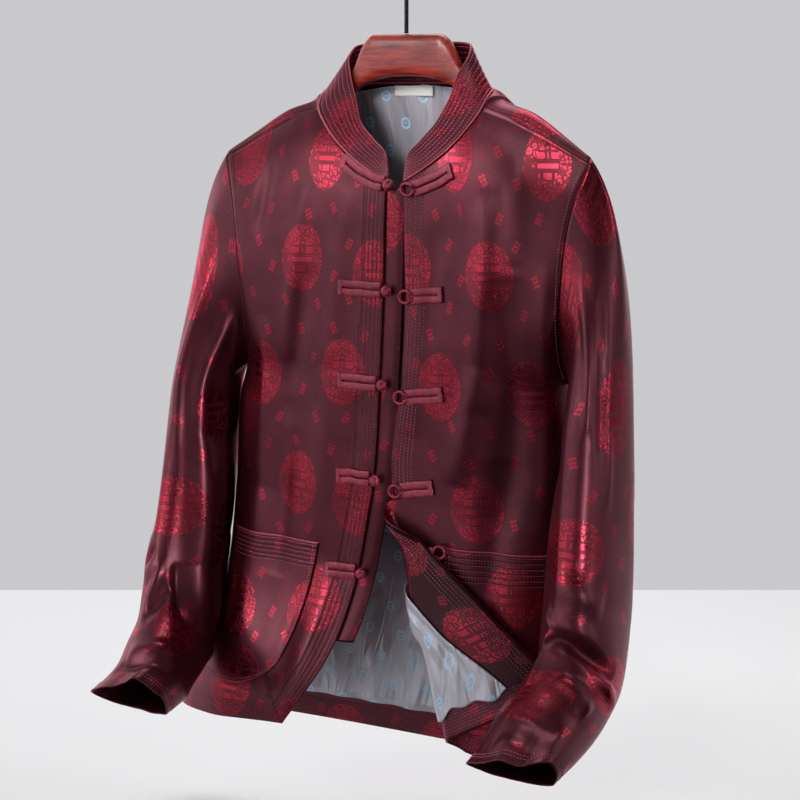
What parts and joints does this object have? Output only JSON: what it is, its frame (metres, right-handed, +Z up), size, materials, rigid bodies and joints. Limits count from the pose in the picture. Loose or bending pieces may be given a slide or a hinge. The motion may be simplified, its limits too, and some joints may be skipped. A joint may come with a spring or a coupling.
{
  "type": "hung jacket",
  "caption": "Burgundy satin jacket with a standing collar, cord fastenings and patch pockets, unfastened on a wooden hanger.",
  "frame": {"origin": "underside of the top of the hanger hook, where the rail carries it", "axes": "+Z up, -Y out of the front of the jacket, +X to the right of someone who faces the front, which is the wearer's left"},
  "size_m": [0.5864, 0.3097, 0.9086],
  "materials": {
    "burgundy_jacquard": "satin jacquard, crimson medallions on burgundy",
    "burgundy_trim": "satin cord",
    "grey_lining": "satin with small blue rings",
    "white_label": "matt woven",
    "red_brown_wood": "varnished",
    "dark_metal": "semi-gloss black"
  },
  "bodies": {
    "root": {"back_panel": "burgundy_jacquard", "collar": "burgundy_jacquard", "facing_loop_side": "burgundy_jacquard", "frog_bar_1": "burgundy_trim", "frog_bar_2": "burgundy_trim", "frog_bar_3": "burgundy_trim", "frog_bar_4": "burgundy_trim", "frog_bar_5": "burgundy_trim", "frog_knot_1": "burgundy_trim", "frog_knot_2": "burgundy_trim", "frog_knot_3": "burgundy_trim", "frog_knot_4": "burgundy_trim", "frog_knot_5": "burgundy_trim", "frog_loop_1": "burgundy_trim", "frog_loop_2": "burgundy_trim", "frog_loop_3": "burgundy_trim", "frog_loop_4": "burgundy_trim", "frog_loop_5": "burgundy_trim", "front_knot_side": "burgundy_jacquard", "front_loop_side": "burgundy_jacquard", "hanger_hook": "dark_metal", "hanger_wood": "red_brown_wood", "lining_back": "grey_lining", "lining_front": "grey_lining", "neck_label": "white_label", "pocket_knot_side": "burgundy_jacquard", "pocket_loop_side": "burgundy_jacquard", "sleeve_knot_side": "burgundy_jacquard", "sleeve_loop_side": "burgundy_jacquard", "under_placket": "burgundy_jacquard"}
  },
  "joints": []
}
